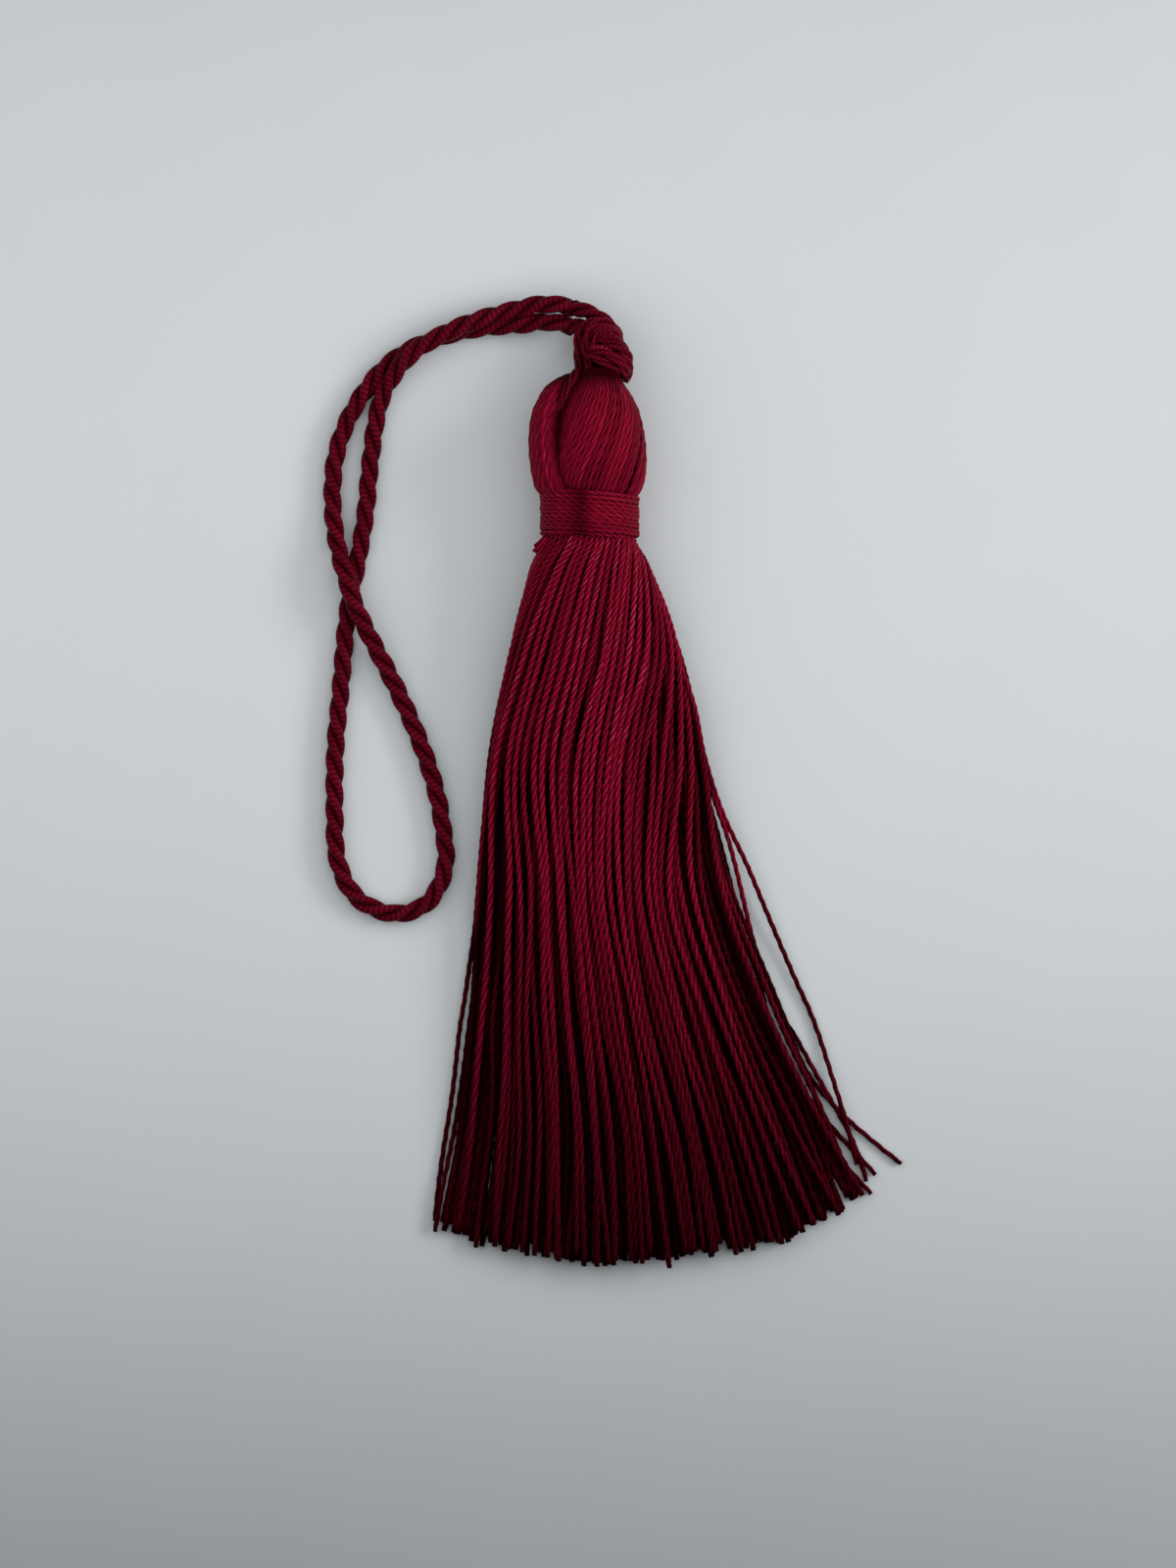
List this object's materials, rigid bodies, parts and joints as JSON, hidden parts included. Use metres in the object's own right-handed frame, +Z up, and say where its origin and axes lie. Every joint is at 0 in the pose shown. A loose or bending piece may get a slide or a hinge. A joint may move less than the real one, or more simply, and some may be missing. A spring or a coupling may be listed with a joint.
{
  "type": "thread tassel with a hanging cord",
  "caption": "Silky thread tassel lying flat: a rounded head of folded threads, a wound neck band, a fanned skirt of cut threads, and a knot with a looped twisted hanging cord.",
  "frame": {"origin": "on the surface the tassel lies on, under the middle of the wound neck band", "axes": "+Z up from the surface, +Y from the skirt's cut ends towards the head and knot, +X across the tassel"},
  "size_m": [0.0787, 0.1319, 0.0146],
  "materials": {
    "skirt_thread": "silky plied thread, crimson",
    "band_thread": "silky thread wound in close turns, crimson",
    "cord_thread": "silky three-ply twisted cord, dull crimson"
  },
  "bodies": {
    "root": {"head_and_skirt": "skirt_thread", "binding_band": "band_thread", "binding_end": "band_thread", "knot": "cord_thread", "hanging_cord": "cord_thread"}
  },
  "joints": []
}
